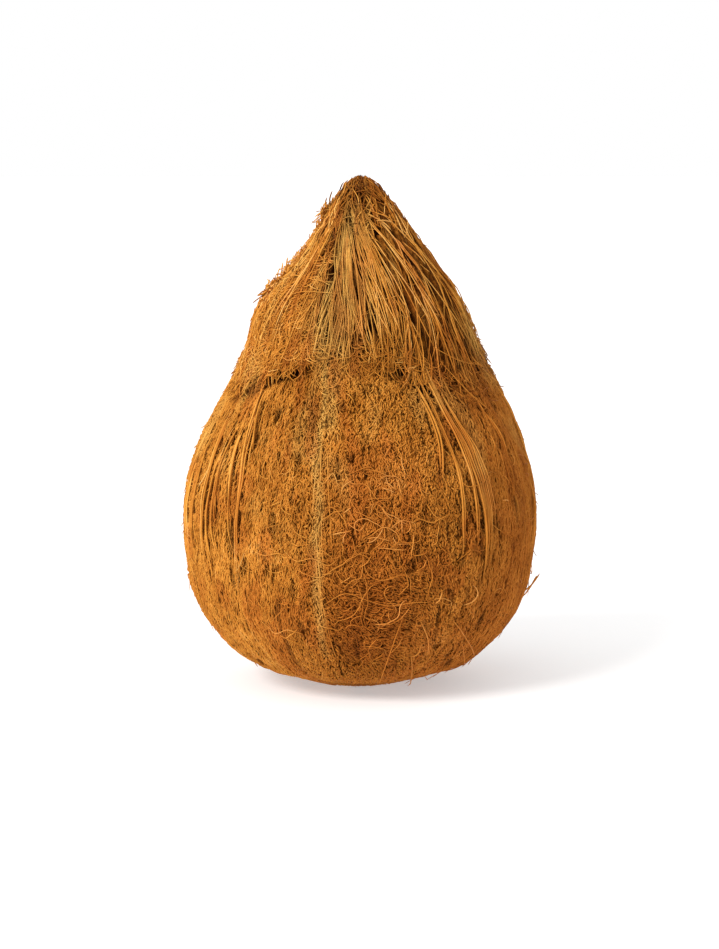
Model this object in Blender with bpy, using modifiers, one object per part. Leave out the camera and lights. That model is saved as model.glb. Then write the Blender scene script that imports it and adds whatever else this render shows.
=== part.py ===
"""A brown coconut: a husked nut that keeps a pointed tuft of coir over its top.

It grew as one piece, so it is one solid, and it stands on a small flat spot. The
front faces -Y, +Z is up, and the origin is on the floor under the middle.

The body starts as a coarse cage of rings, a ball with few faces, and Subdivision
Surface rounds it. The cage follows the three-sided build of a coconut: a seam
runs up each of three rounded ridges, and the husk tore off in an arch over each.
"""

import math

import bmesh
import bpy
from mathutils import Matrix, Vector

# Driving dimensions, in metres.
HEIGHT = 0.165
GIRTH_RADIUS = 0.058

# Three-sided form.
SEAMS = 3
SEAM_AZIMUTH = math.radians(-14)  # of the front seam, from -Y towards +X
RIDGE_HEIGHT = 0.016  # how far a seam stands out, as a share of the radius
ARCH_RISE = 0.0065  # how much higher the torn edge of the husk is over a seam
TUFT_LEAN = 0.0016  # the tuft bows this far towards +X between its edge and its tip

# The cage's rings, from the floor to the tip: height and radius as shares of HEIGHT
# and GIRTH_RADIUS, and the share of RIDGE_HEIGHT and of ARCH_RISE that the ring takes.
RINGS = (
    # height, radius, ridge, arch
    (0.000, 0.225, 0.0, 0.0),  # rim of the flat spot
    (0.028, 0.530, 0.3, 0.0),
    (0.092, 0.810, 0.7, 0.0),
    (0.192, 1.000, 1.0, 0.0),
    (0.315, 1.070, 1.0, 0.0),
    (0.430, 1.015, 1.0, 0.1),
    (0.530, 0.900, 1.0, 0.4),
    (0.600, 0.785, 0.9, 1.0),  # nut just under the torn edge
    (0.640, 0.725, 0.6, 1.0),  # torn edge of the husk
    (0.730, 0.615, 0.2, 0.6),
    (0.815, 0.460, 0.0, 0.2),
    (0.890, 0.305, 0.0, 0.0),
    (0.955, 0.180, 0.0, 0.0),
    (1.000, 0.070, 0.0, 0.0),  # rim of the blunt tip
)
FLAT_RING = 0
EDGE_RING = 8  # the torn edge
CAGE_SEGMENTS = 12
SMOOTHING_LEVELS = 2

COIR_COLOUR = (0.38, 0.15, 0.035, 1.0)
COIR_ROUGHNESS = 0.9


def clear_scene():
    """Removes whatever objects the file opened with."""
    for obj in list(bpy.data.objects):
        bpy.data.objects.remove(obj)


def coir_material():
    """Dry golden-brown coconut fibre."""
    material = bpy.data.materials.new("coir")
    material.use_nodes = True
    shader = material.node_tree.nodes["Principled BSDF"]
    shader.inputs["Base Color"].default_value = COIR_COLOUR
    shader.inputs["Roughness"].default_value = COIR_ROUGHNESS
    shader.inputs["Metallic"].default_value = 0.0
    return material


def ring_point(ring, azimuth):
    """Where the cage's ring passes this azimuth, counted from -Y towards +X."""
    height_share, radius_share, ridge, arch = RINGS[ring]
    seam_wave = math.cos(SEAMS * (azimuth - SEAM_AZIMUTH))
    radius = GIRTH_RADIUS * radius_share * (1 + RIDGE_HEIGHT * ridge * seam_wave)
    height = HEIGHT * height_share + ARCH_RISE * arch * seam_wave
    edge_share = RINGS[EDGE_RING][0]
    along_tuft = max(0.0, (height_share - edge_share) / (1 - edge_share))
    lean = TUFT_LEAN * math.sin(math.pi * along_tuft)
    return Vector((lean + radius * math.sin(azimuth), -radius * math.cos(azimuth), height))


def shape_cage(cage):
    """Moves each vertex of a ball with one row per ring to its place on the coconut.

    Returns the vertices of the flat spot's rim.
    """
    rows = len(RINGS) + 1
    rim = []
    for vertex in cage.verts:
        x, y, z = vertex.co
        row = round((1 - math.acos(max(-1.0, min(1.0, z))) / math.pi) * rows)
        if row == 0:
            vertex.co = (0.0, 0.0, 0.0)
        elif row == rows:
            vertex.co = (0.0, 0.0, HEIGHT)
        else:
            vertex.co = ring_point(row - 1, math.atan2(x, -y))
        if row == FLAT_RING + 1:
            rim.append(vertex)
    return rim


def keep_rim_sharp(cage, rim):
    """Creases the flat spot's rim, so that rounding leaves the spot exactly flat."""
    crease = cage.edges.layers.float.new("crease_edge")
    for edge in cage.edges:
        if edge.verts[0] in rim and edge.verts[1] in rim:
            edge[crease] = 1.0


def centre_on_origin(obj):
    """Moves the object level, so that the middle of its rounded form is over the origin."""
    bpy.context.view_layer.update()
    evaluated = obj.evaluated_get(bpy.context.evaluated_depsgraph_get())
    corners = [Vector(corner) for corner in evaluated.bound_box]
    middle = (corners[0] + corners[6]) / 2  # opposite corners of the box
    obj.data.transform(Matrix.Translation((-middle.x, -middle.y, 0.0)))


def make_coconut(collection):
    """The whole fruit as one smooth closed body."""
    cage = bmesh.new()
    bmesh.ops.create_uvsphere(
        cage, u_segments=CAGE_SEGMENTS, v_segments=len(RINGS) + 1, radius=1.0
    )
    rim = shape_cage(cage)
    keep_rim_sharp(cage, rim)
    mesh = bpy.data.meshes.new("coconut")
    cage.to_mesh(mesh)
    cage.free()
    mesh.shade_smooth()
    mesh.materials.append(coir_material())
    coconut = bpy.data.objects.new("coconut", mesh)
    collection.objects.link(coconut)
    rounding = coconut.modifiers.new("rounding", "SUBSURF")
    rounding.levels = SMOOTHING_LEVELS
    rounding.render_levels = SMOOTHING_LEVELS
    centre_on_origin(coconut)
    return coconut


def main():
    clear_scene()
    collection = bpy.data.collections.new("brown_coconut")
    bpy.context.scene.collection.children.link(collection)
    make_coconut(collection)


main()
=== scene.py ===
"""The looks of a brown coconut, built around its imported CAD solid.

The solid gives the shape. Two closed skins of matted pith follow it: one is the nut,
and the other is the tuft, whose torn lower edge laps over the nut. Coir is laid on both
as thin closed tubes: a curly mat, combed strands, the long fibres of the tuft, frayed
ends along the torn edge and at the tip, and loose hairs.

A place on the surface is an azimuth, in radians from the front (-Y) towards +X, and a
share of the way up its meridian, from 0 on the floor to 1 at the tip.
"""

import itertools
import math

import bpy
import numpy as np
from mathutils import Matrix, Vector
from mathutils.bvhtree import BVHTree


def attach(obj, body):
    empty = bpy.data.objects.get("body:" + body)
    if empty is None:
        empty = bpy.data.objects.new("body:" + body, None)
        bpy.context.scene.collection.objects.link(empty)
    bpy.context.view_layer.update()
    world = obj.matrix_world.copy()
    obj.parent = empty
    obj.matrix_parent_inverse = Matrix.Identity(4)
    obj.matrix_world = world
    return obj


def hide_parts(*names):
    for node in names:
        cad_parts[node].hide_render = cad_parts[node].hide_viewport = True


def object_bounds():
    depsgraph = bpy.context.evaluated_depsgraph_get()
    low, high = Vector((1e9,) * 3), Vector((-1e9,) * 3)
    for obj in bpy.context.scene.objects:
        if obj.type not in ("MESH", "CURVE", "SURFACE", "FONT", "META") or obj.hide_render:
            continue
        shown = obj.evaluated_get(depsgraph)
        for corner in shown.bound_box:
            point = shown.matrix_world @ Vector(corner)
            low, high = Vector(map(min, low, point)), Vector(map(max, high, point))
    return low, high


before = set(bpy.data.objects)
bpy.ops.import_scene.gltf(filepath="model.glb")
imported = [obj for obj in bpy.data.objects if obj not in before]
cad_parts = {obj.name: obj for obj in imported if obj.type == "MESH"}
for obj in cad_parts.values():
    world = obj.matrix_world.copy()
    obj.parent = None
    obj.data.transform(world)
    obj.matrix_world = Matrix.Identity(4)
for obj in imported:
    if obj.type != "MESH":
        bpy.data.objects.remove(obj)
cad_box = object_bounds()

TAU = 2 * math.pi
MM = 0.001
NODE = "coconut"
HEIGHT = cad_box[1].z
GIRTH = (cad_box[1].x - cad_box[0].x) / 2

# The three-sided build of a coconut: a seam runs up each rounded ridge.
SEAM_AZIMUTH = math.radians(-14)
SEAMS = 3

# The torn edge of the husk, where the tuft ends over the nut.
EDGE_HEIGHT = 105 * MM
EDGE_ARCH = 6.5 * MM  # how much higher the edge is over a seam than beside it
EDGE_SLANT = 2 * MM

SKIN_DEPTH = 1.0 * MM  # how far the pith lies under the solid's surface

# The tables that hold a surface: places round it, and places up each meridian.
COLUMNS = 360
ROWS = 256


# ---- noise and shares

GRADIENTS = 4096
HASH_FACTORS = np.array([73856093, 19349663, 83492791])


def unit(vectors):
    """The directions of these vectors, with a length of 1."""
    return vectors / np.maximum(np.linalg.norm(vectors, axis=-1, keepdims=True), 1e-12)


DIRECTIONS = unit(np.random.default_rng(1).normal(size=(GRADIENTS, 3)))


def noise(points, size, seed):
    """Smooth noise from about -1 to 1, with lumps of about this size in millimetres."""
    cell = points / (size * MM) + 17.3 * seed
    low = np.floor(cell).astype(np.int64)
    inside = cell - low
    fade = inside**3 * (inside * (6 * inside - 15) + 10)
    total = np.zeros(points.shape[:-1])
    for corner in itertools.product((0, 1), repeat=3):
        mixed = (low + corner) * HASH_FACTORS
        index = (mixed[..., 0] ^ mixed[..., 1] ^ mixed[..., 2]) % GRADIENTS
        slope = ((inside - corner) * DIRECTIONS[index]).sum(-1)
        total += slope * np.where(corner, fade, 1 - fade).prod(-1)
    return 1.6 * total


def smooth(low, high, value):
    """0 below low, 1 above high, and a soft step between them."""
    share = np.clip((value - low) / (high - low), 0, 1)
    return share * share * (3 - 2 * share)


def rises(low, high, value):
    """The soft step from 0 to 1 of a length, between two lengths in millimetres."""
    return smooth(low * MM, high * MM, value)


def falls(low, high, value):
    """The soft step from 1 to 0 of a length, between two lengths in millimetres."""
    return 1 - rises(low, high, value)


def mix(low, high, share):
    """The value this share of the way from low to high."""
    return low + (high - low) * share


# ---- the surface


class Surface:
    """The solid's surface as tables of points and normals, by azimuth and share."""

    def __init__(self, points):
        self.points = points
        across = np.roll(points, -1, axis=0) - np.roll(points, 1, axis=0)
        along = np.gradient(points, axis=1)
        normals = np.cross(across, along)
        normals[:, 0] = (0, 0, -1)
        normals[:, -1] = (0, 0, 1)
        self.table = np.concatenate([points, unit(normals)], axis=2)
        steps = np.linalg.norm(np.diff(points, axis=1), axis=2)
        self.length = steps.sum(axis=1).mean()
        self.heights = points[..., 2].mean(axis=0)
        self.radii = np.hypot(points[..., 0], points[..., 1]).mean(axis=0)

    def at(self, azimuth, share):
        """Points and outward normals."""
        column = (azimuth / TAU + 0.5) % 1 * COLUMNS
        row = np.clip(share, 0, 1) * (ROWS - 1)
        left = np.floor(column).astype(int)
        below = np.minimum(np.floor(row).astype(int), ROWS - 2)
        across = (column - left)[..., None]
        up = (row - below)[..., None]
        left, right = left % COLUMNS, (left + 1) % COLUMNS
        low = mix(self.table[left, below], self.table[right, below], across)
        high = mix(self.table[left, below + 1], self.table[right, below + 1], across)
        found = mix(low, high, up)
        return found[..., :3], unit(found[..., 3:])

    def share_at(self, height):
        """The share at which a meridian reaches this height."""
        return np.interp(height, self.heights, np.linspace(0, 1, ROWS))

    def moved(self, distance):
        """A copy whose points lie this far out along their normals."""
        return Surface(self.points + distance[..., None] * self.table[..., 3:])


def table_places():
    azimuth = np.linspace(-math.pi, math.pi, COLUMNS, endpoint=False)
    return np.meshgrid(azimuth, np.linspace(0, 1, ROWS), indexing="ij")


def solid_surface():
    """Casts rays at the solid from inside it, and spaces what they hit evenly."""
    tree = BVHTree.FromObject(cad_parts[NODE], bpy.context.evaluated_depsgraph_get())
    heart = Vector((0, 0, GIRTH))
    tilts = np.linspace(-math.pi / 2, math.pi / 2, 2 * ROWS)[1:-1]
    even = np.linspace(0, 1, ROWS)
    points = np.empty((COLUMNS, ROWS, 3))
    for column, azimuth in enumerate(table_places()[0][:, 0]):
        hits = [(0, 0, 0)]
        for tilt in tilts:
            level = math.cos(tilt)
            ray = (math.sin(azimuth) * level, -math.cos(azimuth) * level, math.sin(tilt))
            hits.append(tree.ray_cast(heart, ray)[0])
        hits.append((0, 0, HEIGHT))
        hits = np.array(hits)
        along = np.append(0, np.linalg.norm(np.diff(hits, axis=0), axis=1).cumsum())
        for axis in range(3):
            points[column, :, axis] = np.interp(even, along / along[-1], hits[:, axis])
    for _ in range(8):  # takes off the facets
        beside = (np.roll(points, 1, axis=0) + np.roll(points, -1, axis=0)) / 2
        points = (points + beside) / 2
        points[:, 1:-1] = (2 * points[:, 1:-1] + points[:, :-2] + points[:, 2:]) / 4
    return Surface(points)


def grain(azimuth, share, stretch):
    """Coordinates in which noise comes out drawn along the meridians."""
    across = [GIRTH * np.cos(azimuth), GIRTH * np.sin(azimuth)]
    return np.stack([*across, share * MERIDIAN / stretch], axis=-1)


def radius_at(height):
    """The mean radius of the solid at this height."""
    return np.interp(height, solid.heights, solid.radii)


def lumps(surface):
    """The gentle unevenness that both skins and all fibres share."""
    broad = 0.55 * noise(surface.points, 22, 1)
    fine = 0.35 * noise(surface.points, 9, 2)
    azimuth, _ = table_places()
    height = surface.points[..., 2]
    level = rises(0.5, 8, height)  # stays flat on the floor
    side = near(azimuth, -88, 50)
    felt = side * rises(110, 122, height) * falls(126, 136, height)
    hollow = side * rises(134, 143, height)
    full = rises(2.5, 10, height) * falls(24, 46, height)
    return ((broad + fine) * level + 1.8 * felt - 1.4 * hollow + 1.7 * full) * MM


# ---- regions


def turn_from(degrees, azimuth):
    """The turn from an azimuth in degrees, at most half a turn either way."""
    return (azimuth - math.radians(degrees) + math.pi) % TAU - math.pi


def near(azimuth, centre_degrees, width_degrees):
    """1 at this azimuth, falling to 0 over this width on each side."""
    return 1 - smooth(0, math.radians(width_degrees), np.abs(turn_from(centre_degrees, azimuth)))


def seam_wave(azimuth):
    """1 over a seam, and -1 half-way between two."""
    return np.cos(SEAMS * (azimuth - SEAM_AZIMUTH))


def edge_height(azimuth):
    """How high the husk tore off."""
    arch = EDGE_ARCH * seam_wave(azimuth) - EDGE_SLANT * np.cos(azimuth - math.radians(40))
    arch = arch + 6.5 * MM * near(azimuth, 22, 24)
    around = grain(azimuth, np.zeros_like(azimuth), 1)
    return EDGE_HEIGHT + arch + 2.0 * MM * noise(around, 9, 3)


def combed(azimuth, share):
    """0 where the nut's coir is a curly mat, 1 where it lies in long parallel strands.

    The mat lies a little to the +X side of each seam.
    """
    wander = 0.5 * noise(grain(azimuth, share, 3), 14, 4)
    return smooth(-0.5, 0.6, wander - seam_wave(azimuth - math.radians(18)))


def fine_grained(azimuth, height):
    """1 where the nut is nearly smooth, with fine stripes and no pits."""
    sides = np.maximum(near(azimuth, 82, 34), near(azimuth, -160, 30))
    sides = sides * rises(14, 40, height) * falls(88, 112, height)
    low_left = 0.55 * near(azimuth, -34, 26) * falls(50, 80, height)
    return np.maximum(sides, low_left)


def matted(azimuth, height):
    """1 where the tuft is a felt of short curls and not long fibres."""
    sides = np.maximum(near(azimuth, -60, 62), near(azimuth, 165, 50))
    rough = 0.25 * noise(grain(azimuth, height / MERIDIAN, 1), 9, 12)
    return smooth(0.25, 0.65, sides + rough) * falls(128, 152, height)


def slits(azimuth, share):
    """0 to 1: pits and splits in the pith of the nut, most of them along the grain."""
    patch = smooth(-0.1, 0.5, noise(grain(azimuth, share, 2), 13, 5))
    order = combed(azimuth, share)
    pits = smooth(0.38, 0.54, noise(grain(azimuth, share, 3), 1.8, 6))
    long = smooth(0.42, 0.60, noise(grain(azimuth, share, 9), 1.4, 16))
    cracks = smooth(0.42, 0.52, noise(grain(azimuth, share, 3.5), 2.8, 24))
    small = np.maximum(pits * mix(0.3, 0.9, patch), long * mix(0.1, 0.7, order))
    return np.maximum(small, cracks * mix(0.4, 1, order))


# Bunches of thick strands on the front, as azimuths of the two ends and how far the
# middle bows out towards +X, in degrees, then heights of the ends in millimetres, and
# how many strands lie together.
FRONT_BUNCHES = (
    # top, bottom, bow, high, low, strands
    (-44, -40, 1, 100, 76, 2),
    (-48, -44, 3.5, 107, 38, 5),
    (-51, -45, 0, 99, 50, 4),
    (-53, -52, -2, 91, 47, 4),
    (-58, -56, -1, 86, 34, 3),
    (-64, -61, 1, 96, 44, 4),
    (-71, -68, 0, 93, 40, 4),
    (-79, -75, 0, 89, 35, 4),
    (24, 29, 3, 106, 74, 3),
    (27, 34, 4.5, 108, 46, 4),
    (31, 41, 3.6, 110, 52, 3),
    (33, 45, 3.6, 110, 40, 5),
    (36, 46, 4, 108, 45, 5),
    (39, 50, 3, 99, 54, 2),
    (60, 66, 0, 97, 68, 2),
)


def bunch_azimuth(row, along):
    """The azimuth in degrees of a bunch's middle, this share of the way down it."""
    top, bottom, bow = row[:3]
    return mix(top, bottom, along) + bow * np.sin(math.pi * np.clip(along, 0, 1))


def troughs(azimuth, share, height):
    """0 to 1: ragged hollows in the pith on both sides of each front bunch."""
    ragged = smooth(-0.05, 0.25, noise(grain(azimuth, share, 2), 2.2, 25))
    deep = 0 * height
    for row in FRONT_BUNCHES:
        high, low = row[3] * MM, row[4] * MM
        along = (high - height) / (high - low)
        turn = azimuth - np.radians(bunch_azimuth(row, along))
        away = np.abs(turn) * radius_at(height) / MM
        beside = smooth(0.3, 0.7, away) * (1 - smooth(1.2, 1.9, away))
        ends = smooth(-0.02, 0.06, along) * (1 - smooth(0.94, 1.02, along))
        deep = np.maximum(deep, beside * ends)
    return deep * ragged


# The gaps that show most in the tuft: azimuth and lean in degrees, then the height of
# the middle, the length and the width in millimetres.
TUFT_GAPS = (
    # azimuth, lean, height, length, width
    (21, 18, 150.5, 8, 2.8),
    (46, 12, 147.5, 7, 2.8),
    (53, 9, 141.7, 12, 3.6),
    (74, 0, 142.4, 9, 3.2),
    (61, -7, 131.7, 14, 4.6),
    (42, -6, 134.2, 13, 2.2),
    (17, 22, 137.8, 10, 2.8),
    (0, 0, 129.6, 19, 2.4),
    (-7, 0, 127.0, 13, 1.8),
    (32, 8, 126.0, 14, 2.4),
    (68, 0, 119.0, 12, 3.0),
    (-24, 0, 138.0, 10, 2.2),
    (150, 10, 142.0, 12, 2.4),
    (-135, -8, 134.0, 12, 2.4),
    (105, 5, 128.0, 13, 2.6),
)


def lens(azimuth, height, middle, lean, middle_height, length, width):
    """1 inside a lens-shaped place on the surface, and 0 round it."""
    across = turn_from(middle, azimuth) * radius_at(middle_height * MM)
    down = (middle_height * MM - height) * 1.25  # the way down the slope is longer than the drop
    angle = math.radians(lean)
    along = down * math.cos(angle) + across * math.sin(angle)
    aside = across * math.cos(angle) - down * math.sin(angle)
    away = (2 * along / (length * MM)) ** 2 + np.abs(2 * aside / (width * MM))
    return 1 - smooth(0.85, 1.25, away)


def gaps(azimuth, share, height):
    """0 to 1: long lens-shaped gaps between the fibres of the tuft."""
    where = grain(azimuth, share, 4)
    wide = smooth(0.36, 0.54, noise(where, 3.0, 7))
    fine = 0.75 * smooth(0.35, 0.6, noise(where, 1.7, 8))
    gap = np.maximum(wide, fine) * (1 - matted(azimuth, height))
    for row in TUFT_GAPS:
        gap = np.maximum(gap, lens(azimuth, height, *row))
    return gap


def crevice(azimuth):
    """0 to 1: how deep the nut is cut back under the torn edge."""
    sides = np.maximum(near(azimuth, -35, 20), 0.8 * near(azimuth, 26, 20))
    sides = np.maximum(sides, 0.45 * near(azimuth, -62, 30))
    back = np.maximum(near(azimuth, 110, 40), near(azimuth, -140, 40))
    return np.maximum(sides, 0.5 * back)


def cut_back(azimuth, height):
    """0 to 1: the groove in the nut under the torn edge."""
    below = edge_height(azimuth) - height
    band = rises(-3, 0, below) * falls(1, 5.5, below)
    return crevice(azimuth) * band


def sunk(azimuth, share, height):
    """How far the nut's coir lies below its general surface, in splits and grooves."""
    split = 0.95 * slits(azimuth, share) * (1 - 0.8 * fine_grained(azimuth, height))
    split = np.maximum(split, 1.2 * troughs(azimuth, share, height))
    return (split + 2.4 * cut_back(azimuth, height)) * MM


def flow(azimuth, share):
    """The heading that fibres tend to: 0 down the meridian, and more towards +X."""
    where = grain(azimuth, share, 2.2)
    slow = 0.22 * noise(where, 13, 14) + 0.20 * noise(where, 6, 15)
    tuft = smooth(0.62, 0.75, share)
    sweep = 0.45 * near(azimuth, 25, 70) * smooth(0.78, 0.95, share)
    return slow * mix(0.35, 1, tuft) + sweep


# ---- meshes


def make_object(name, points, faces, places, attributes, material):
    """A smooth mesh piece from arrays.

    faces is a list of arrays of equal-sided faces, and places has a list of the same
    shape with the corners' places on the texture.
    """
    mesh = bpy.data.meshes.new(name)
    mesh.vertices.add(len(points))
    mesh.vertices.foreach_set("co", points.astype(np.float32).ravel())
    corners = np.concatenate([face.ravel() for face in faces])
    sizes = np.concatenate([np.full(len(face), face.shape[1]) for face in faces])
    starts = np.append(0, sizes.cumsum()[:-1])
    mesh.loops.add(len(corners))
    mesh.loops.foreach_set("vertex_index", corners.astype(np.int32))
    mesh.polygons.add(len(sizes))
    mesh.polygons.foreach_set("loop_start", starts.astype(np.int32))
    mesh.update(calc_edges=True)
    mesh.shade_smooth()
    layout = mesh.uv_layers.new(name="OFBake")
    flat = np.concatenate([place.reshape(-1, 2) for place in places])
    layout.uv.foreach_set("vector", flat.astype(np.float32).ravel())
    for key, values in attributes.items():
        layer = mesh.attributes.new(key, "FLOAT", "POINT")
        layer.data.foreach_set("value", np.clip(values, 0, 1).astype(np.float32).ravel())
    mesh.materials.append(material)
    piece = bpy.data.objects.new(name, mesh)
    bpy.context.scene.collection.objects.link(piece)
    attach(piece, "root")
    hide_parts(NODE)


def quad_places(columns, rows):
    """Places of the corners of a grid of quads, over 0 to 1 both ways."""
    left, low = np.meshgrid(np.arange(columns), np.arange(rows), indexing="ij")
    corners = [(left, low), (left + 1, low), (left + 1, low + 1), (left, low + 1)]
    return np.stack([np.stack([a / columns, b / rows], -1) for a, b in corners], axis=2)


FAN_SHARE = 0.02  # of the texture's height, for the fan at each end of a skin


def quads_between(index, beside):
    """Quads between each row of points and the next, from these points to those beside."""
    corners = [index[:, :-1], beside[:, :-1], beside[:, 1:], index[:, 1:]]
    return np.stack(corners, axis=-1).reshape(-1, 4)


def make_skin(name, points, low_point, high_point, attributes):
    """A closed skin from rings of points, closed at each end by a fan to one point."""
    columns, rows = points.shape[:2]
    index = np.arange(columns * rows).reshape(columns, rows)
    right = np.roll(index, -1, axis=0)
    low = np.full(columns, columns * rows)
    low_fan = np.stack([right[:, 0], index[:, 0], low], axis=-1)
    high_fan = np.stack([index[:, -1], right[:, -1], low + 1], axis=-1)
    middle = quad_places(columns, rows - 1)
    middle[..., 1] = mix(FAN_SHARE, 1 - FAN_SHARE, middle[..., 1])
    step, rim = 1 / columns, 1 - FAN_SHARE
    left = np.stack([np.arange(columns) * step, np.zeros(columns)], axis=-1)[:, None]
    low_places = left + [(step, FAN_SHARE), (0, FAN_SHARE), (0, 0)]
    high_places = left + [(0, rim), (step, rim), (0, 1)]
    everything = np.vstack([points.reshape(-1, 3), low_point, high_point])
    spread = {
        key: np.append(values.ravel(), [values[:, 0].mean(), values[:, -1].mean()])
        for key, values in attributes.items()
    }
    faces = [quads_between(index, right), low_fan, high_fan]
    places = [middle, low_places, high_places]
    make_object(name, everything, faces, places, spread, pith)


SIDES = 3
CELL_MARGIN = 0.1


def tube_places(fibres, count):
    """Gives each tube a cell of the texture. Returns places of its sides and its ends."""
    across = math.ceil(math.sqrt(fibres * count / 5))
    up = math.ceil(fibres / across)
    cell = np.arange(fibres)
    corner = np.stack([cell % across / across, cell // across / up], axis=-1)
    size = np.array([1 / across, 1 / up])
    sides = quad_places(count - 1, SIDES)[:, :, (0, 3, 2, 1), ::-1]
    sides = mix(CELL_MARGIN, 1 - CELL_MARGIN, sides)
    sides = corner[:, None, None, None] + size * sides[None]
    triangle = np.array([(0.4, 0.02), (0.6, 0.02), (0.5, 0.08)])
    low = corner[:, None] + size * triangle
    high = corner[:, None] + size * (triangle + (0, 0.9))
    return sides, low, high


def make_tubes(name, paths, normals, thickness, attributes):
    """Closed tapering tubes along paths of (fibres, points, 3)."""
    fibres, count = paths.shape[:2]
    ahead = unit(np.gradient(paths, axis=1))
    beside = unit(np.cross(ahead, normals))
    above = np.cross(beside, ahead)
    along = np.linspace(0, 1, count)
    taper = np.clip(0.3 + 5 * np.minimum(along, 1 - along), 0, 1)
    radius = (np.asarray(thickness).reshape(-1, 1) / 2 * taper)[..., None]
    rings = []
    for side in range(SIDES):
        angle = TAU * (side / SIDES + 0.25)
        rings.append(paths + radius * (math.cos(angle) * beside + math.sin(angle) * above))
    points = np.stack(rings, axis=2)
    points[..., 2] = np.maximum(points[..., 2], 0.1 * MM)
    index = np.arange(fibres * count * SIDES).reshape(fibres, count, SIDES)
    quads = quads_between(index, np.roll(index, -1, axis=2))
    faces = [quads, index[:, 0, ::-1], index[:, -1]]
    spread = {
        key: np.repeat(np.broadcast_to(values, (fibres, count)).ravel(), SIDES)
        for key, values in attributes.items()
    }
    places = tube_places(fibres, count)
    make_object(name, points.reshape(-1, 3), faces, places, spread, fibre)


# ---- colour shares


def seam_streak(azimuth, height):
    """1 in the narrow pale streak along each seam."""
    waver = math.radians(2.5) * noise(grain(0 * azimuth, height / MERIDIAN, 1), 15, 9)
    streak = 0 * height
    for turn in range(SEAMS):
        middle = math.degrees(SEAM_AZIMUTH) + 360 / SEAMS * turn
        streak = np.maximum(streak, near(azimuth + waver, middle, 3.0))
    crown = 0.8 * near(azimuth, -11, 5) * rises(84, 92, height)
    streak = np.maximum(streak * rises(12, 25, height), crown)
    return streak * falls(104, 110, height)


def straw(azimuth, height):
    """0 to 1: how pale and olive the coir is."""
    tuft = near(azimuth, -13, 27) * rises(106, 120, height)
    tuft *= falls(150, 160, height)
    shoulder = near(azimuth, 84, 16) * rises(94, 102, height)
    shoulder *= falls(118, 126, height)
    streak = seam_streak(azimuth, height)
    patches = smooth(0.05, 0.5, noise(grain(azimuth, height / MERIDIAN, 1.5), 12, 10))
    above = rises(50, 80, height)
    return np.clip(0.75 * tuft + 0.7 * shoulder + 0.9 * streak + 0.4 * patches * above, 0, 1)


def rust(azimuth, height):
    """0 to 1: how red the coir is."""
    where = grain(azimuth, height / MERIDIAN, 2)
    patches = smooth(0.05, 0.4, noise(where, 7, 11))
    foot = falls(8, 60, height) * mix(1, 0.4, near(azimuth, -50, 50))
    flank = near(azimuth, 66, 60) * falls(95, 125, height)
    front = near(azimuth, 6, 30) * rises(12, 26, height)
    front *= falls(78, 92, height)
    tuft = near(azimuth, 42, 36) * rises(108, 120, height)
    broad = 0.5 * foot + 0.75 * flank + 0.75 * front + 0.35 * tuft
    return np.clip(0.65 * patches + broad, 0, 1)


def tone_and_painted_light(azimuth, height):
    """How much lighter or darker the coir is here, as a change of tint; part of it is painted
    light and painted shade.
    """
    where = grain(azimuth, height / MERIDIAN, 1.5)
    slow = 0.09 * noise(where, 14, 13) + 0.07 * noise(where, 5, 19)
    tip = rises(152, 162, height)
    # lighter at the foot: painted light, as of light bounced up from the floor
    foot = falls(4, 40, height)
    # darker on the +X flank, turned away from the key light: painted shade
    flank = near(azimuth, 80, 50)
    # lighter low on the left, turned towards the key light: painted light
    low_left = near(azimuth, -32, 26) * falls(45, 75, height)
    seam = seam_streak(azimuth, height)
    above = height - edge_height(azimuth)
    # darker just under the torn edge, where the tuft overhangs: painted shade
    painted_shade_under_edge = rises(-8, -1, above) * falls(-1, 2, above)
    tuft = rises(112, 126, height)
    crown = near(azimuth, -2, 24) * tuft
    low_front = near(azimuth, 3, 30) * falls(38, 62, height)
    # light: the pale seam streaks, a lighter right side of the tuft, and painted light at the
    # foot, low on the left and down the front middle. dark: the dark tip, a darker crown and low
    # front, and painted shade on the +X flank and under the torn edge.
    light = 0.10 * seam + 0.05 * low_left + 0.06 * foot + 0.05 * near(azimuth, 16, 26)
    light += 0.14 * near(azimuth, 40, 34) * tuft
    dark = 0.24 * tip + 0.06 * flank + 0.06 * painted_shade_under_edge + 0.16 * crown + 0.16 * low_front
    return slow + light - dark


# ---- skins

SKIN_AZIMUTHS = np.linspace(-math.pi, math.pi, 620, endpoint=False)  # one for each column
NUT_ROWS = 158
TUFT_ROWS = 150


def coir_attributes(azimuth, height, tint, hollow):
    """What the material reads at each point: a tint with painted light and painted shade in it,
    a hollow share that is painted shade, and the straw and rust shares.
    """
    return {
        "tint": tint + tone_and_painted_light(azimuth, height),
        "hollow": hollow + 0 * height,
        "straw": straw(azimuth, height),
        "rust": rust(azimuth, height),
    }


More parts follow.
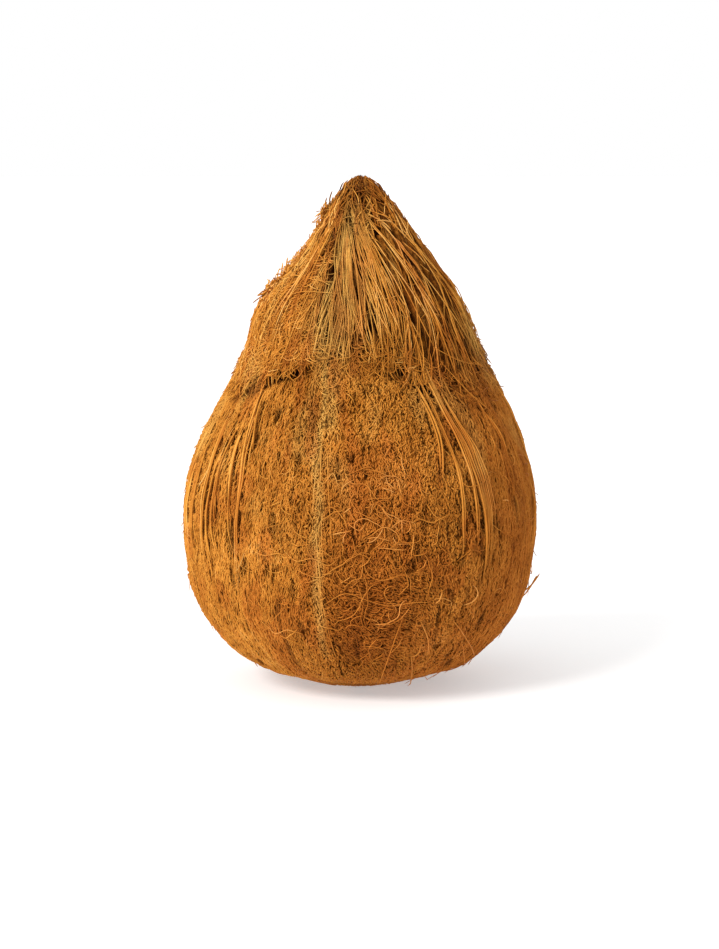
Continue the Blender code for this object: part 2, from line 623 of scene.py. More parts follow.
def nut_skin():
    """The matted pith of the nut, cut back under the torn edge of the husk."""
    top = ground.share_at(edge_height(SKIN_AZIMUTHS) + 7 * MM)
    share = np.linspace(0.004, 1, NUT_ROWS) * top[:, None]
    azimuth = np.broadcast_to(SKIN_AZIMUTHS[:, None], share.shape)
    points, normals = ground.at(azimuth, share)
    height = points[..., 2]
    calm = fine_grained(azimuth, height)
    coarse = 0.40 * noise(points, 2.6, 20) + 0.35 * noise(points, 1.5, 21)
    furrow = smooth(0.1, 0.55, noise(grain(azimuth, share, 9), 1.7, 22))
    furrow *= mix(0.3, 1, combed(azimuth, share)) * mix(1, 0.35, calm)
    under = rises(-1, -5, edge_height(azimuth) - height)
    out = coarse * mix(1, 0.4, calm) - 0.9 * furrow - 2.5 * under
    splits = sunk(azimuth, share, height)
    offset = (out * MM - 1.2 * splits) * rises(0.2, 4, height) - SKIN_DEPTH * rises(0, 3, height)
    moved = points + offset[..., None] * normals
    moved[..., 2] = np.maximum(moved[..., 2], 0)
    # the hollow share is painted shade: a little all over, more in furrows, splits and the
    # groove under the torn edge, less on raised lumps
    deep = 0.3 * furrow + 0.65 * splits / MM + 0.12 - 0.35 * coarse
    attributes = coir_attributes(azimuth, height, 0.42 + 0.2 * noise(points, 1.2, 23), deep)
    make_skin("nut_skin", moved, (0, 0, 0), moved[:, -1].mean(axis=0), attributes)


def tuft_skin():
    """The coir under the tuft's fibres, from the torn edge to the tip, darkened with painted
    shade.
    """
    around = grain(SKIN_AZIMUTHS, 0 * SKIN_AZIMUTHS, 1)
    ragged = 1.3 * noise(around, 3, 30) + 0.8 * noise(around, 1.2, 31)
    low = ground.share_at(edge_height(SKIN_AZIMUTHS) + ragged * MM)[:, None]
    share = low + np.linspace(0, 0.998, TUFT_ROWS) * (1 - low)
    azimuth = np.broadcast_to(SKIN_AZIMUTHS[:, None], share.shape)
    points, normals = ground.at(azimuth, share)
    height = points[..., 2]
    coarse = 0.45 * noise(points, 2.4, 32) + 0.3 * noise(points, 1.3, 33)
    furrow = smooth(0.0, 0.6, noise(grain(azimuth, share, 6), 1.5, 34))
    furrow *= 1 - matted(azimuth, height)
    gap = gaps(azimuth, share, height)
    rim = falls(0, 2.2, (share - low) * MERIDIAN)
    out = coarse - 0.9 * furrow - 2.6 * gap - (1.0 + 2.2 * crevice(azimuth)) * rim
    tip = falls(-7, 0, height - HEIGHT)
    offset = out * MM * mix(0.4, 1, tip) - SKIN_DEPTH
    moved = points + offset[..., None] * normals
    # the hollow share is painted shade: some all over, more in furrows and gaps and under the
    # torn rim, less on raised lumps
    deep = 0.5 * furrow + gap + 0.6 * rim + 0.4 - 0.4 * coarse
    attributes = coir_attributes(azimuth, height, 0.40 + 0.2 * noise(points, 1.2, 35), deep)
    floor = moved[:, 0].mean(axis=0) - (0, 0, 3 * MM)
    make_skin("tuft_skin", moved, floor, moved[:, -1].mean(axis=0), attributes)


# ---- laying fibres


def make_fibres(name, laid, lift, thickness, tints, hollow):
    """Makes the tubes of fibres laid at these places, this high above the surface."""
    points, normals = ground.at(*laid)
    attributes = coir_attributes(laid[0], points[..., 2], tints[:, None], hollow)
    make_tubes(name, points + lift[..., None] * normals, normals, thickness, attributes)


class Fibres:
    """The draws and walks behind one piece, whose fibres all have count points."""

    def __init__(self, name, seed, fibres, count):
        self.name = name
        self.rng = np.random.default_rng(seed)
        self.fibres = fibres
        self.count = count
        self.along = np.linspace(0, 1, count)

    def between(self, low, high):
        """A number for each fibre, drawn evenly between low and high."""
        return self.rng.uniform(low, high, self.fibres)

    def around(self, middle, spread):
        """A number for each fibre, drawn normally around the middle."""
        return middle + spread * self.rng.normal(size=self.fibres)

    def anywhere(self):
        """An angle for each fibre."""
        return self.between(-math.pi, math.pi)

    def scatter(self, low, high):
        """Azimuths, shares and heights of places spread evenly between two shares."""
        tries = 6 * self.fibres
        share = self.rng.uniform(low, high, tries)
        azimuth = self.rng.uniform(-math.pi, math.pi, tries)
        points = ground.at(azimuth, share)[0]
        radius = np.hypot(points[:, 0], points[:, 1])
        kept = np.flatnonzero(self.rng.uniform(0, GIRTH, tries) < radius)[: self.fibres]
        return azimuth[kept], share[kept], points[kept, 2]

    def keep(self, kept, *tables):
        """Goes on with these fibres only, and returns their rows of each table."""
        self.fibres = np.count_nonzero(kept)
        return [table[kept] for table in tables]

    def walk(self, azimuth, share, lean, length, curl=0, wander=0, pull=0):
        """Walks down over the surface, and returns each fibre's azimuths and shares.

        lean is each fibre's own turn from the flow, towards +X. curl is a steady turn and
        wander a changing one, both in radians per metre, and pull turns a fibre back.
        """
        step = length / (self.count - 1)
        azimuths = np.empty((self.fibres, self.count))
        shares = np.empty((self.fibres, self.count))
        turn = np.zeros(self.fibres)
        heading = flow(azimuth, share) + lean
        for place in range(self.count):
            azimuths[:, place] = azimuth
            shares[:, place] = share
            points = ground.at(azimuth, share)[0]
            radius = np.maximum(np.hypot(points[:, 0], points[:, 1]), 3 * MM)
            azimuth = azimuth + step * np.sin(heading) / radius
            share = np.clip(share - step * np.cos(heading) / MERIDIAN, 0.002, 0.999)
            turn = self.around(0.6 * turn, wander)
            back = pull * np.sin(flow(azimuth, share) + lean - heading)
            heading = heading + (curl + turn + back) * step
        return azimuths, shares

    def arched(self, low, high):
        """Heights that rise from low at both ends to high in the middle."""
        bow = np.sin(math.pi * self.along) ** 0.7
        return mix(np.reshape(low, (-1, 1)), high[:, None], bow)

    def rising(self, low, high, power):
        """Heights that lift off from low at the start to high at the end."""
        return mix(low, high[:, None], self.along**power)

    def lay(self, laid, lift, thick, tint, spread, hollow=0.0, kept=slice(None)):
        """Makes the piece from the fibres that are kept.

        thick has the least and the most thickness in millimetres, and each fibre's tint
        is drawn around tint.
        """
        thickness = self.between(*thick) * MM
        tints = self.around(tint, spread)
        places = [table[kept] for table in laid]
        deep = np.broadcast_to(hollow, lift.shape)[kept]
        make_fibres(self.name, places, lift[kept], thickness[kept], tints[kept], deep)


# ---- the nut's coir


def crosswise(azimuth, height):
    """1 low on the front, where the coir is wrinkled across the grain."""
    return near(azimuth, 8, 30) * rises(8, 18, height) * falls(38, 52, height)


def streaks(azimuth, share):
    """From about -1 to 1: lighter and darker streaks along the grain."""
    broad = noise(grain(azimuth, share, 5), 2.6, 17)
    fine = noise(grain(azimuth, share, 4), 1.2, 18)
    return 0.6 * broad + 0.5 * fine


def fleck_places(flecks):
    """Places all over the nut and the felt, outside the splits."""
    azimuth, share, height = flecks.scatter(0.012, ground.share_at(148 * MM))
    luck = flecks.between(0.1, 0.9)
    kept = height < edge_height(azimuth) + 1 * MM
    kept |= matted(azimuth, height) > luck
    kept &= sunk(azimuth, share, height) / MM < luck * 1.2
    return flecks.keep(kept, azimuth, share, height)


def pith_flecks(part):
    """Short thick flecks that give the pith its grain, with the splits left open."""
    flecks = Fibres(f"pith_flecks_{part + 1}", 120 + part, 21500, 3)
    azimuth, share, height = fleck_places(flecks)
    felt = rises(0, 2, height - edge_height(azimuth))
    order = combed(azimuth, share) * (1 - felt)
    calm = fine_grained(azimuth, height)
    spread = mix(0.42, 0.22, order) * mix(1, 0.4, calm)
    lean = flecks.around(0, mix(spread, 1.2, felt)) + math.pi / 2 * crosswise(azimuth, height)
    length = flecks.between(1.0, 2.8) * mix(1, 1.3, order) * mix(1, 1.3, calm) * MM
    curl = flecks.around(0, 300) * (1 - order)
    laid = flecks.walk(azimuth, share, lean, length, curl)
    top = flecks.between(-0.44, 0.04) * mix(1, 0.5, calm) * MM
    depth = sunk(*laid, height[:, None])
    lift = flecks.arched(top - 0.45 * MM, top) - depth
    slim = mix(1, 0.8, order)
    streaked = streaks(azimuth, share) * mix(1, 0.5, calm) * (1 - 0.7 * felt)
    # the tint rises with how high each fleck lies: painted shade on the low ones; the streaks
    # are the coir's own tone
    tint = 0.65 + 0.16 * top / MM + 0.16 * streaked
    # flecks that lie low, and flecks in splits, get a hollow share: painted shade
    low = 0.15 * rises(-0.3, -0.6, top) * (1 - calm)
    hollow = np.maximum(low[:, None], 0.7 * depth / MM)
    flecks.lay(laid, lift, (0.40 * slim, 0.78 * slim), tint, 0.035, hollow)


def curly_mat(part):
    """Short curls felted over the nut."""
    curls = Fibres(f"curly_mat_{part + 1}", 100 + part, 5000, 7)
    azimuth, share, height = curls.scatter(0.03, ground.share_at(112 * MM))
    kept = height < edge_height(azimuth) + 1 * MM
    kept &= sunk(azimuth, share, height) / MM < curls.between(0.15, 0.9)
    azimuth, share, height = curls.keep(kept, azimuth, share, height)
    order = combed(azimuth, share)
    lean = curls.around(0, mix(0.6, 0.25, order)) + math.pi / 2 * crosswise(azimuth, height)
    length = curls.between(2.2, 6.5) * mix(1, 1.8, order) * MM
    curl = curls.around(0, mix(300, 50, order))
    laid = curls.walk(azimuth, share, lean, length, curl, mix(330, 50, order), 40 * order)
    top = curls.between(-0.35, 0.18) * MM
    depth = sunk(*laid, height[:, None])
    lift = curls.arched(-0.9 * MM, top) - depth
    # the tint rises with how high each curl lies, and curls in splits get a hollow share:
    # painted shade on the low ones
    tint = 0.655 + 0.18 * top / MM + 0.10 * streaks(azimuth, share)
    curls.lay(laid, lift, (0.26, 0.42), tint, 0.055, 0.6 * depth / MM)


def combed_strands():
    """Fine strands that lie flat and parallel between the seams."""
    strands = Fibres("combed_strands", 200, 5200, 18)
    azimuth, share, height = strands.scatter(0.10, ground.share_at(108 * MM))
    wanted = combed(azimuth, share) * mix(0.3, 1, fine_grained(azimuth, height))
    kept = wanted > strands.between(0.1, 0.9)
    kept &= height < edge_height(azimuth) + 2 * MM
    azimuth, share, height = strands.keep(kept, azimuth, share, height)
    lean = strands.around(0, 0.09)
    length = strands.between(10, 36) * MM
    laid = strands.walk(azimuth, share, lean, length, wander=9, pull=60)
    top = strands.between(-0.5, 0.3) * mix(1, 0.6, fine_grained(azimuth, height)) * MM
    depth = sunk(*laid, height[:, None])
    lift = strands.arched(-0.9 * MM, top) - 0.8 * depth
    # the tint rises with how high each strand lies, and strands in splits get a hollow share:
    # painted shade on the low ones
    strands.lay(laid, lift, (0.24, 0.42), 0.60 + 0.25 * top / MM, 0.10, 0.6 * depth / MM)


def back_bunches(rng):
    """Bunches of three strands where the sides and the back are combed."""
    bunches = []
    for azimuth in rng.uniform(80, 278, 60):
        high = rng.uniform(72, 110)
        low = max(high - rng.uniform(25, 65), 20)
        if combed(np.radians(azimuth), 0.5) > 0.6:
            bunches.append((azimuth, azimuth + 3 * rng.normal(), 2 * rng.normal(), high, low, 3))
    return bunches


def strand_route(rng, number, row, along):
    """Azimuths in degrees and heights in millimetres of one strand of a bunch."""
    part = mix(rng.uniform(-0.04, 0.25), rng.uniform(0.7, 1.06), along)
    height = mix(row[3], row[4], part)
    own = np.stack([height / 11, 0 * height + number, 0 * height + rng.uniform(0, 9)], axis=-1)
    waver = 0.5 * noise(own * MM, 1, 41)
    return bunch_azimuth(row, part) + 0.42 * rng.normal() + waver, height


def long_strands():
    """Thick pale strands that run down the nut from the torn edge, in close bunches."""
    strands = Fibres("long_strands", 210, 0, 32)
    routes = []
    for number, row in enumerate([*FRONT_BUNCHES, *back_bunches(strands.rng)]):
        for _ in range(row[5]):
            routes.append(strand_route(strands.rng, number, row, strands.along))
    strands.fibres = len(routes)
    azimuths, heights = np.array(routes).transpose(1, 0, 2)
    laid = (np.radians(azimuths), ground.share_at(heights * MM))
    lift = strands.arched(-0.7 * MM, strands.between(0.2, 0.9) * MM)
    lift = lift + 0.3 * MM * noise(grain(*laid, 2), 9, 40)
    strands.lay(laid, lift, (0.42, 0.72), 0.76, 0.07)


def seam_strands():
    """A few straight pale strands that lie along each seam."""
    each = 7
    strands = Fibres("seam_strands", 220, SEAMS * each, 32)
    middle = math.degrees(SEAM_AZIMUTH) + 360 / SEAMS * np.repeat(np.arange(SEAMS), each)
    azimuth = np.radians(strands.around(middle, 1.3))
    share = ground.share_at(strands.between(38, 104) * MM)
    length = strands.between(14, 46) * MM
    laid = strands.walk(azimuth, share, strands.around(0, 0.03), length, wander=6, pull=60)
    lift = strands.arched(-0.7 * MM, strands.between(-0.1, 0.5) * MM)
    strands.lay(laid, lift, (0.38, 0.62), 0.78, 0.08)


def loose_curls():
    """Pale curly fibres that lie loose low on the front, and a few all round."""
    curls = Fibres("loose_curls", 350, 190, 20)
    azimuth = curls.around(math.radians(4), math.radians(12))
    azimuth[::3] = curls.rng.uniform(-math.pi, math.pi, len(azimuth[::3]))
    share = ground.share_at(curls.between(18, 76) * MM)
    lean = curls.anywhere()
    length = curls.rng.gamma(3.0, 2.6, curls.fibres) * MM
    laid = curls.walk(azimuth, share, lean, length, curls.around(0, 110), wander=220)
    lift = curls.arched(-0.2 * MM, curls.between(0.35, 0.9) * MM)
    curls.lay(laid, lift, (0.30, 0.42), 0.78, 0.09)


# ---- the tuft's coir


def tuft_fibres(part):
    """Long fibres that fan out from the tip to the torn edge."""
    fan = Fibres(f"tuft_fibres_{part + 1}", 300 + part, 3500, 14)
    azimuth = fan.anywhere()
    edge = ground.share_at(edge_height(azimuth) + fan.between(-6, 9) * MM)
    share = fan.rng.uniform(edge + 0.06, 0.99)
    length = np.minimum(fan.between(14, 46) * MM, (share - edge) * MERIDIAN)
    lean = fan.around(0, 1) * np.where(fan.between(0, 1) < 0.18, 0.45, 0.12)
    laid = fan.walk(azimuth, share, lean, length, fan.around(0, 12), wander=14, pull=45)
    height = ground.at(*laid)[0][..., 2]
    gap = gaps(*laid, height)
    kept = gap.max(axis=1) < fan.between(0.08, 0.75)
    kept &= matted(azimuth, height[:, fan.count // 2]) < fan.between(0.1, 1.1)
    top = fan.between(-0.6, 0.7) * MM
    lock = noise(grain(*laid, 5), 3.4, 42)
    lift = fan.arched(-0.9 * MM, top) + 0.6 * MM * lock - 1.2 * MM * gap
    spread = mix(mix(0.10, 0.17, near(azimuth, -12, 26)), 0.22, smooth(0.84, 0.96, share))
    # fibres in gaps and fibres lying low get a hollow share, and the tint rises with how high
    # each fibre lies: painted shade on the low ones
    hollow = 0.7 * gap + 0.8 * rises(0.1, -0.8, lift)
    fan.lay(laid, lift, (0.26, 0.46), 0.57 + 0.22 * top / MM, spread, hollow, kept)


def straw_strands():
    """Stiff pale strands down the front of the tuft, free at their lower ends."""
    strands = Fibres("straw_strands", 310, 150, 20)
    azimuth = np.radians(strands.around(-12, 9))
    azimuth[::4] = strands.rng.uniform(-math.pi, math.pi, len(azimuth[::4]))
    share = ground.share_at(strands.between(132, 160) * MM)
    edge = ground.share_at(edge_height(azimuth) + strands.between(-3, 12) * MM)
    length = np.minimum((share - edge) * MERIDIAN, 46 * MM)
    laid = strands.walk(azimuth, share, strands.around(0, 0.06), length, wander=8, pull=30)
    lift = strands.rising(-0.3 * MM, strands.between(0.3, 1.5) * MM, 0.8)
    strands.lay(laid, lift, (0.30, 0.46), 0.76, 0.10)


def tuft_felt():
    """Curls felted into the matted sides of the tuft."""
    curls = Fibres("tuft_felt", 320, 9500, 9)
    azimuth, share, height = curls.scatter(ground.share_at(98 * MM), ground.share_at(150 * MM))
    kept = matted(azimuth, height) > curls.between(0.1, 0.9)
    kept &= height > edge_height(azimuth) - 1 * MM
    azimuth, share = curls.keep(kept, azimuth, share)
    lean = curls.around(-0.3, 1.1)
    length = curls.between(3, 9) * MM
    laid = curls.walk(azimuth, share, lean, length, curls.around(0, 160), wander=170)
    top = curls.between(-0.5, 0.8) * MM
    # the tint rises with how high each curl lies: painted shade on the low ones
    curls.lay(laid, curls.arched(-0.9 * MM, top), (0.28, 0.46), 0.62 + 0.17 * top / MM, 0.11)


def edge_fray():
    """Fibre ends that hang over the nut from the torn edge."""
    ends = Fibres("edge_fray", 330, 1500, 10)
    azimuth = ends.anywhere()
    share = ground.share_at(edge_height(azimuth) + ends.between(0, 9) * MM)
    lean = ends.around(0, 0.6)
    length = ends.between(3, 11) * MM
    curl = ends.around(0, 150)
    laid = ends.walk(azimuth, share, lean, length, curl, wander=150, pull=10)
    lift = ends.rising(-0.5 * MM, ends.between(-0.5, 1.1) * MM, 1.3)
    ends.lay(laid, lift, (0.28, 0.46), 0.59, 0.13)


def tip_fray():
    """Short dark broken ends around the blunt tip."""
    ends = Fibres("tip_fray", 340, 520, 8)
    azimuth = ends.anywhere()
    share = 0.985 - 0.11 * ends.between(0, 1) ** 1.5
    lean = ends.around(math.pi, 0.5)
    length = np.minimum(ends.between(4, 10) * MM, (0.995 - share) * MERIDIAN)
    laid = ends.walk(azimuth, share, lean, length, ends.around(0, 60), wander=60)
    lift = ends.rising(-0.5 * MM, ends.between(-0.3, 1.2) * MM, 1.0)
    ends.lay(laid, lift, (0.32, 0.55), 0.52, 0.20)


# ---- loose hairs


def stray_hairs():
    """Hairs that lift off the surface all over."""
    hairs = Fibres("stray_hairs", 360, 380, 10)
    azimuth, share, _ = hairs.scatter(0.12, 0.95)
    lean = hairs.around(0, 0.7)
    length = hairs.between(3, 9) * MM
    laid = hairs.walk(azimuth, share, lean, length, hairs.around(0, 90), wander=80)
    lift = hairs.rising(-0.3 * MM, hairs.between(0.3, 1.8) * MM, 1.5)
    hairs.lay(laid, lift, (0.20, 0.32), 0.62, 0.12)


# Torn bits that stand out from the sides of the tuft: azimuth in degrees, then height
# and reach in millimetres.
TORN_BITS = (
    # azimuth, height, reach
    (-84, 153.5, 3.6),
    (-80, 149.0, 2.2),
    (-82, 141.0, 2.2),
    (-86, 136.5, 1.8),
    (-87, 132.5, 3.2),
    (-89, 128.0, 3.4),
    (-93, 123.0, 1.6),
    (128, 134.0, 3.0),
    (-165, 127.0, 2.8),
    (176, 146.0, 2.4),
)


def torn_bits():
    """Clumps of torn fibre on the sides of the tuft."""
    each = 34
    bits = Fibres("torn_bits", 370, each * len(TORN_BITS), 9)
    azimuth, height, reach = np.repeat(np.array(TORN_BITS), each, axis=0).T
    azimuth = np.radians(bits.around(azimuth, 3.2))
    share = ground.share_at(bits.around(height, 1.1) * MM)
    lean = bits.anywhere()
    length = bits.between(2.5, 7.5) * MM
    laid = bits.walk(azimuth, share, lean, length, bits.around(0, 480), wander=380)
    lift = bits.rising(-0.5 * MM, reach * bits.between(0, 1) * MM, 0.55)
    bits.lay(laid, lift, (0.32, 0.58), 0.64, 0.14)


# Single hairs that show most. Each has its thickness and the height of its end above
# the surface, in millimetres, then the places it passes: azimuth in degrees and height
# in millimetres.
SINGLE_HAIRS = (
    # thickness, end, places
    (0.40, 0.6, ((1, 52), (1.5, 47), (4, 44), (8, 43.5), (13, 45))),
    (0.38, 0.5, ((-12, 35), (-5, 39), (2, 37), (9, 35), (16, 35.5), (23, 35))),
    (0.36, 0.5, ((-24, 52), (-20, 49), (-15, 50), (-10, 48), (-7, 50))),
    (0.36, 0.5, ((-20, 46), (-13, 44), (-8, 47), (-3, 50), (-1, 53))),
    (0.34, 0.5, ((4, 76), (3, 71), (5, 65), (8, 64))),
    (0.34, 0.5, ((-16, 76), (-12, 73), (-9, 76), (-7, 72))),
    (0.50, 2.2, ((33, 28), (43, 20.5), (54, 14))),
    (0.45, 2.0, ((41, 20), (47, 15), (51, 12))),
    (0.45, 1.0, ((21, 28), (25, 22), (27, 17))),
    (0.42, 1.6, ((14, 31), (11, 19), (9, 8))),
    (0.42, 2.0, ((20, 17), (25, 9), (31, 5))),
    (0.60, 3.4, ((80, 31), (85, 33), (88, 36))),
    (0.60, 2.6, ((82, 29), (86, 32), (90, 35))),
    (0.36, 1.5, ((41, 113), (55, 108.5), (66, 106))),
    (0.34, 1.2, ((43, 109), (51, 102), (62, 92))),
    (0.34, 0.9, ((-17, 130), (-12, 122), (-6, 117.5), (-3, 118), (2.5, 125))),
    (0.34, 0.8, ((-58, 124.5), (-55, 128), (-44, 130), (-26, 130), (-14, 129.5))),
    (0.34, 0.9, ((-44, 134.5), (-29, 133.5), (-20, 132))),
    (0.32, 1.0, ((4, 130), (14, 128), (24, 129))),
    (0.38, 0.9, ((47, 145), (52, 143), (57, 140.5), (60, 137.5))),
)


def through(places, count):
    """Points along a smooth curve through these places."""
    knots = np.array(places, dtype=float)
    ends = np.vstack([2 * knots[0] - knots[1], knots, 2 * knots[-1] - knots[-2]])
    time = np.linspace(0, len(knots) - 1, count)
    span = np.minimum(time.astype(int), len(knots) - 2)
    share = (time - span)[:, None]
    before, start, stop, after = (ends[span + offset] for offset in range(4))
    bend = (2 * before - 5 * start + 4 * stop - after) * share**2
    bend = bend + (3 * start - before - 3 * stop + after) * share**3
    return start + ((stop - before) * share + bend) / 2


def single_hairs():
    """The hairs that catch the eye, each laid along its listed places."""
    count = 28
    curves = np.stack([through(places, count) for _, _, places in SINGLE_HAIRS])
    thickness, end = np.array([row[:2] for row in SINGLE_HAIRS]).T * MM
    laid = (np.radians(curves[..., 0]), ground.share_at(curves[..., 1] * MM))
    lift = mix(0.3 * MM, end[:, None], np.linspace(0, 1, count) ** 1.2)
    make_fibres("single_hairs", laid, lift, thickness, np.full(len(end), 0.78), 0)


# ---- materials


def put(tree, value, socket):
    """Sets an input, or links another node's output to it."""
    if isinstance(value, bpy.types.NodeSocket):
        tree.links.new(value, socket)
    else:
        socket.default_value = value


def add(tree, kind, values=None, **settings):
    """Adds a node, sets its properties, and sets or links its inputs."""
    node = tree.nodes.new(kind)
    for key, value in settings.items():
        setattr(node, key, value)
    for key, value in (values or {}).items():
        put(tree, value, node.inputs[key])
    return node


def attribute(tree, name):
    return add(tree, "ShaderNodeAttribute", attribute_name=name).outputs["Fac"]


def blended(tree, share, low, high):
    """A colour from low to high."""
    node = add(tree, "ShaderNodeMix", data_type="RGBA")
    for key, value in (("Factor", share), ("A", low), ("B", high)):
        put(tree, value, next(s for s in node.inputs if s.name == key and s.enabled))
    return next(s for s in node.outputs if s.enabled)


def ranged(tree, value, low, high):
    """Maps 0 to 1 onto low to high."""
    inputs = {"Value": value, "To Min": low, "To Max": high}
    return add(tree, "ShaderNodeMapRange", inputs).outputs[0]


def math_node(tree, operation, *values):
    inputs = dict(enumerate(values))
    return add(tree, "ShaderNodeMath", inputs, operation=operation).outputs[0]


def mottling(tree, size, detail):
    """Noise over the object from 0 to 1, with this many lumps to the metre."""
    place = add(tree, "ShaderNodeTexCoord").outputs["Object"]
    inputs = {"Vector": place, "Scale": size, "Detail": detail}
    return add(tree, "ShaderNodeTexNoise", inputs).outputs["Fac"]


COIR_TINTS = (
    (0.00, (0.080, 0.020, 0.002)),
    (0.30, (0.240, 0.072, 0.007)),
    (0.55, (0.450, 0.162, 0.018)),
    (0.80, (0.675, 0.290, 0.043)),
    (1.00, (0.840, 0.460, 0.125)),
)
STRAW = ((0.120, 0.060, 0.010, 1.0), (0.860, 0.540, 0.140, 1.0))  # dark, pale
RUST = ((0.080, 0.014, 0.002, 1.0), (0.600, 0.145, 0.017, 1.0))  # dark, pale
# the colour of painted shade in hollows, gaps and splits
PAINTED_HOLLOW_SHADE = (0.040, 0.010, 0.002, 1.0)
STRAW_MOST = 0.65
RUST_MOST = 0.55


def tint_ramp(tree, tint):
    """The plain colour of coir of this tint."""
    ramp = add(tree, "ShaderNodeValToRGB", {"Fac": tint})
    stops = ramp.color_ramp.elements
    for position, _ in COIR_TINTS[1:-1]:
        stops.new(position)
    for stop, (position, colour) in zip(stops, COIR_TINTS, strict=True):
        stop.position = position
        stop.color = (*colour, 1.0)
    return ramp.outputs["Color"]


def coir_material(name, speckle, bump, roughness, specular):
    """Dry coir: the tint of each fibre, mottled, with olive and red places, and painted shade
    where the hollow share is high.
    """
    material = bpy.data.materials.new(name)
    material.use_nodes = True
    tree = material.node_tree
    fine = mottling(tree, 900, 3)
    mottle = math_node(tree, "SUBTRACT", fine, 0.5)
    drift = math_node(tree, "SUBTRACT", mottling(tree, 110, 2), 0.5)
    tint = math_node(tree, "MULTIPLY_ADD", mottle, speckle, attribute(tree, "tint"))
    tint = math_node(tree, "MULTIPLY_ADD", drift, 0.35, tint)
    straw_share = math_node(tree, "MULTIPLY", attribute(tree, "straw"), STRAW_MOST)
    rust_share = math_node(tree, "MULTIPLY", attribute(tree, "rust"), RUST_MOST)
    colour = blended(tree, straw_share, tint_ramp(tree, tint), blended(tree, tint, *STRAW))
    colour = blended(tree, rust_share, colour, blended(tree, tint, *RUST))
    # painted shade, as much as the hollow share says
    colour = blended(tree, attribute(tree, "hollow"), colour, PAINTED_HOLLOW_SHADE)
    relief = {"Height": fine, "Strength": bump, "Distance": 0.4 * MM}
    looks = {
        "Base Color": colour,
        "Roughness": ranged(tree, fine, roughness - 0.12, roughness + 0.12),
        "Normal": add(tree, "ShaderNodeBump", relief).outputs[0],
        "Specular IOR Level": specular,
    }
    for key, value in looks.items():
        put(tree, value, tree.nodes["Principled BSDF"].inputs[key])
    return material


# ---- stage

CAMERA_ELEVATION = math.radians(8)
CAMERA_LENS = 100
CAMERA_DISTANCE = 0.864
CAMERA_AIM = Vector((-0.3 * MM, 0, 68.3 * MM))
SOFT_LIGHT = Vector((-0.9, -0.45, 0.35)).normalized()  # where most soft light comes from
SOFT_STRENGTHS = (0.55, 1.25)  # a quarter turn or more from SOFT_LIGHT, and right at it
FLOOR_HALF = 6.0
FLOOR_GLOW = 0.4
GREY = (0.7, 0.7, 0.7, 1.0)
WHITE = (1.0, 1.0, 1.0, 1.0)


def aim(obj, target):
    obj.rotation_euler = (target - obj.location).to_track_quat("-Z", "Y").to_euler()


def make_camera():
    """Looks at the front from a little above, with the coconut a little high in the picture."""
    data = bpy.data.cameras.new("camera")
    data.lens = CAMERA_LENS
    camera = bpy.data.objects.new("camera", data)
    level = CAMERA_DISTANCE * math.cos(CAMERA_ELEVATION)
    rise = CAMERA_DISTANCE * math.sin(CAMERA_ELEVATION)
    camera.location = CAMERA_AIM + Vector((0, -level, rise))
    aim(camera, CAMERA_AIM)
    bpy.context.scene.collection.objects.link(camera)
    bpy.context.scene.camera = camera


def make_sun(name, place, spread, power, colour=(1, 1, 1)):
    """A distant soft light that shines from this direction."""
    data = bpy.data.lights.new(name, "SUN")
    data.angle = math.radians(spread)
    data.energy = power
    data.color = colour
    light = bpy.data.objects.new(name, data)
    light.location = place
    aim(light, Vector((0, 0, 0)))
    bpy.context.scene.collection.objects.link(light)


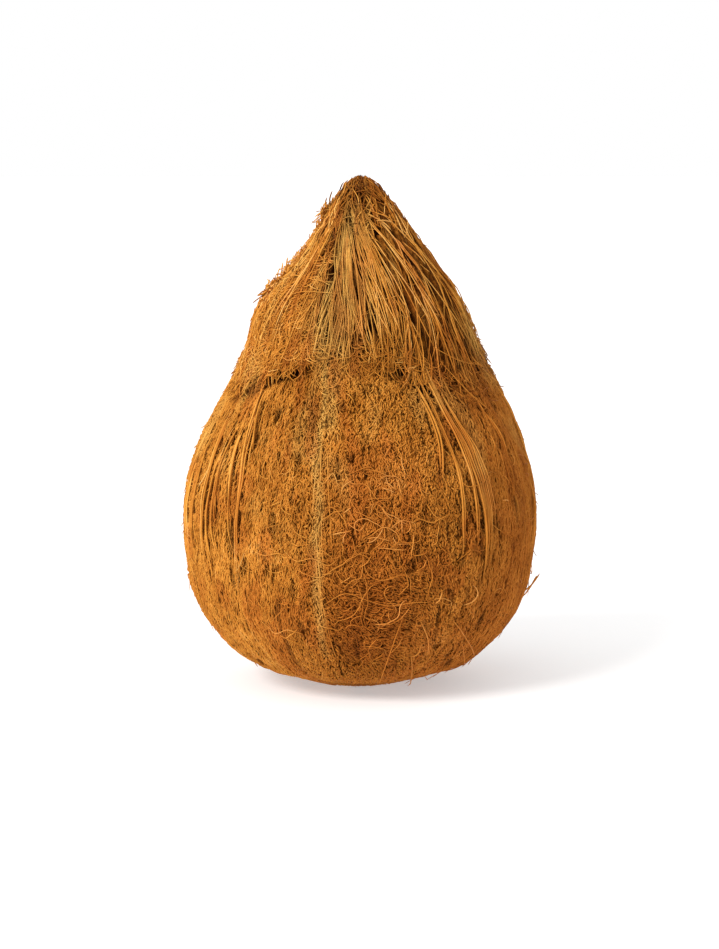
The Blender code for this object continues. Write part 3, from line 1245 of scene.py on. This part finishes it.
def make_world():
    """Soft light from all round, most of it from the upper left, and a white background."""
    world = bpy.data.worlds.new("studio")
    world.use_nodes = True
    tree = world.node_tree
    tree.nodes.clear()
    ray = add(tree, "ShaderNodeTexCoord").outputs["Generated"]
    toward = add(tree, "ShaderNodeVectorMath", {0: ray, 1: SOFT_LIGHT}, operation="DOT_PRODUCT")
    soft = ranged(tree, toward.outputs["Value"], *SOFT_STRENGTHS)
    seen = add(tree, "ShaderNodeLightPath").outputs["Is Camera Ray"]
    strength = add(tree, "ShaderNodeMix", {0: seen, 2: soft, 3: 1.0}, data_type="FLOAT")
    shine = {"Color": WHITE, "Strength": strength.outputs[0]}
    light = add(tree, "ShaderNodeBackground", shine)
    add(tree, "ShaderNodeOutputWorld", {"Surface": light.outputs[0]})
    bpy.context.scene.world = world


def make_floor():
    """A pale floor that glows a little, so that it comes out nearly white."""
    mesh = bpy.data.meshes.new("floor")
    corners = [(-1, -1), (1, -1), (1, 1), (-1, 1)]
    points = [(FLOOR_HALF * x, FLOOR_HALF * y, 0) for x, y in corners]
    mesh.from_pydata(points, [], [(0, 1, 2, 3)])
    material = bpy.data.materials.new("pale_floor")
    material.use_nodes = True
    shader = material.node_tree.nodes["Principled BSDF"]
    looks = {"Base Color": GREY, "Roughness": 0.9, "Emission Color": WHITE}
    looks["Emission Strength"] = FLOOR_GLOW
    for key, value in looks.items():
        shader.inputs[key].default_value = value
    mesh.materials.append(material)
    floor = bpy.data.objects.new("floor", mesh)
    bpy.context.scene.collection.objects.link(floor)


def make_stage():
    make_world()
    make_floor()
    make_sun("key", (-1.0, -1.0, 1.0), 22, 2.4, (1.0, 0.98, 0.95))
    make_sun("back", (0.9, 1.0, 1.0), 60, 0.5)
    bpy.context.scene.view_settings.view_transform = "Standard"


# ---- the coconut

FLECK_PARTS = 6
MAT_PARTS = 2
TUFT_PARTS = 2

make_camera()
solid = solid_surface()
MERIDIAN = solid.length
ground = solid.moved(lumps(solid))

pith = coir_material("coir_pith", 0.9, 0.9, 0.85, 0.03)
fibre = coir_material("coir_fibre", 0.25, 0.2, 0.6, 0.08)

nut_skin()
tuft_skin()
for fleck_part in range(FLECK_PARTS):
    pith_flecks(fleck_part)
for mat_part in range(MAT_PARTS):
    curly_mat(mat_part)
for make_strands in (combed_strands, long_strands, seam_strands, loose_curls):
    make_strands()
for tuft_part in range(TUFT_PARTS):
    tuft_fibres(tuft_part)
for make_ends in (straw_strands, tuft_felt, edge_fray, tip_fray):
    make_ends()
for make_hairs in (stray_hairs, torn_bits, single_hairs):
    make_hairs()
make_stage()
